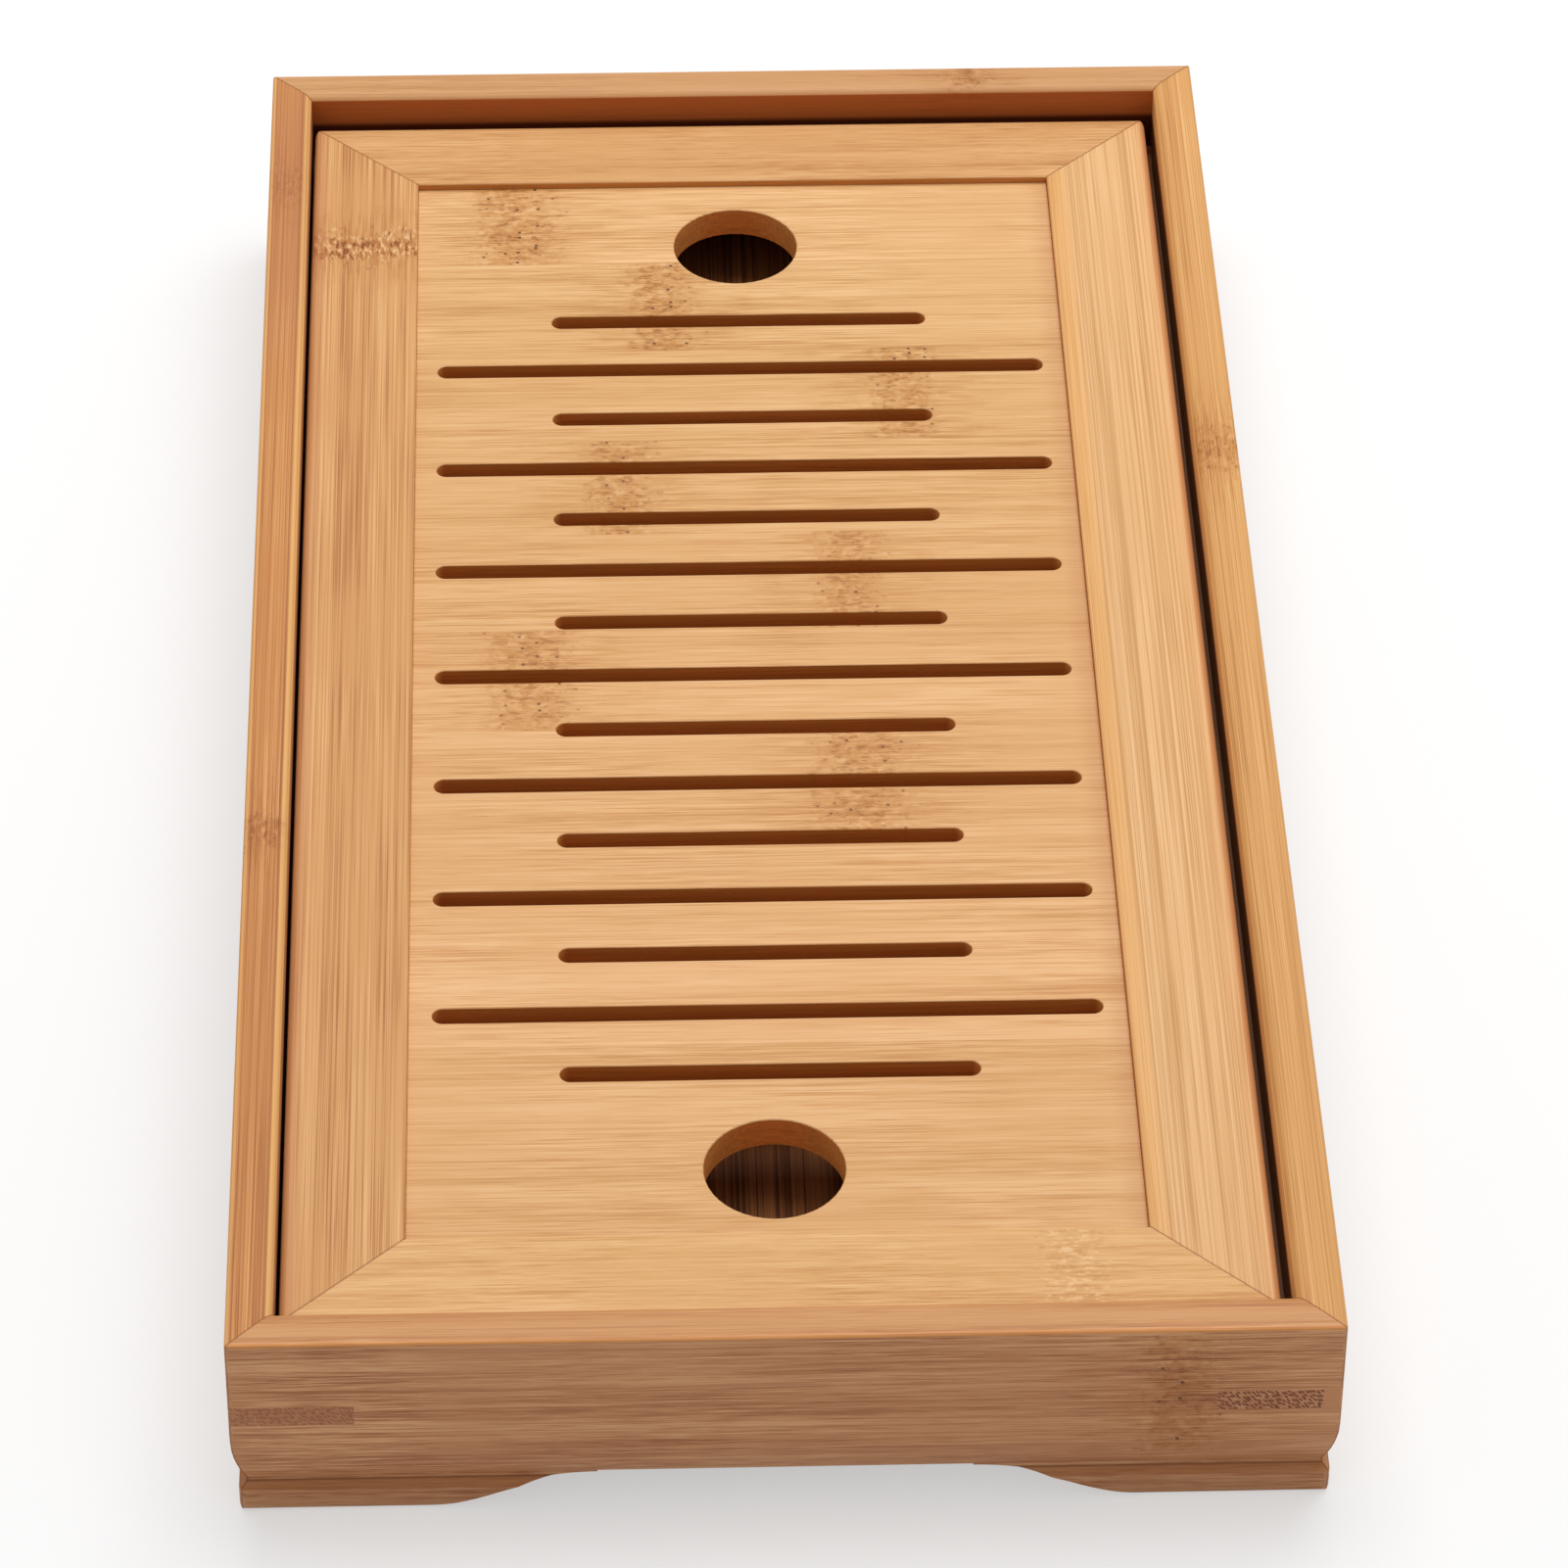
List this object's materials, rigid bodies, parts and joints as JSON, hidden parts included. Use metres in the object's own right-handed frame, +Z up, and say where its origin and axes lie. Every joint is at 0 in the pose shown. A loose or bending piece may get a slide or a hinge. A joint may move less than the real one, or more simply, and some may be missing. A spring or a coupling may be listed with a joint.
{
  "type": "gongfu tea tray",
  "caption": "Shallow bamboo box on bracket feet with a lift-off slotted lid that drains tea water into the reservoir below.",
  "frame": {"origin": "centre of the tray's outline, on the surface that the feet stand on", "axes": "+Z up; +Y along the tray's length, to the back; +X across it, to the right"},
  "size_m": [0.141, 0.275, 0.0306],
  "materials": {
    "lid_board": "satin bamboo",
    "lid_side_rails": "satin bamboo",
    "lid_end_rails": "satin bamboo",
    "side_walls": "satin bamboo",
    "end_walls": "satin bamboo",
    "keys": "satin bamboo",
    "feet": "satin bamboo",
    "bottom_board": "satin bamboo",
    "ledges": "satin bamboo"
  },
  "bodies": {
    "box": {"bottom_panel": "bottom_board", "wall_front": "end_walls", "ledge_front": "ledges", "wall_right": "side_walls", "ledge_right": "ledges", "wall_back": "end_walls", "ledge_back": "ledges", "wall_left": "side_walls", "ledge_left": "ledges", "key_front_left": "keys", "foot_front_left_end": "feet", "foot_front_left_side": "feet", "key_front_right": "keys", "foot_front_right_end": "feet", "foot_front_right_side": "feet", "key_back_right": "keys", "foot_back_right_end": "feet", "foot_back_right_side": "feet", "key_back_left": "keys", "foot_back_left_end": "feet", "foot_back_left_side": "feet"},
    "lid": {"lid_rail_front": "lid_end_rails", "lid_rail_right": "lid_side_rails", "lid_rail_back": "lid_end_rails", "lid_rail_left": "lid_side_rails", "lid_panel": "lid_board", "lid_spline_front_left": "ledges", "lid_spline_front_right": "ledges", "lid_spline_back_right": "ledges", "lid_spline_back_left": "ledges"}
  },
  "joints": [
    {"name": "lid_lift", "type": "slide", "parent": "box", "child": "lid", "axis": [0, 0, 1], "range_m": [0, 0.04]}
  ]
}
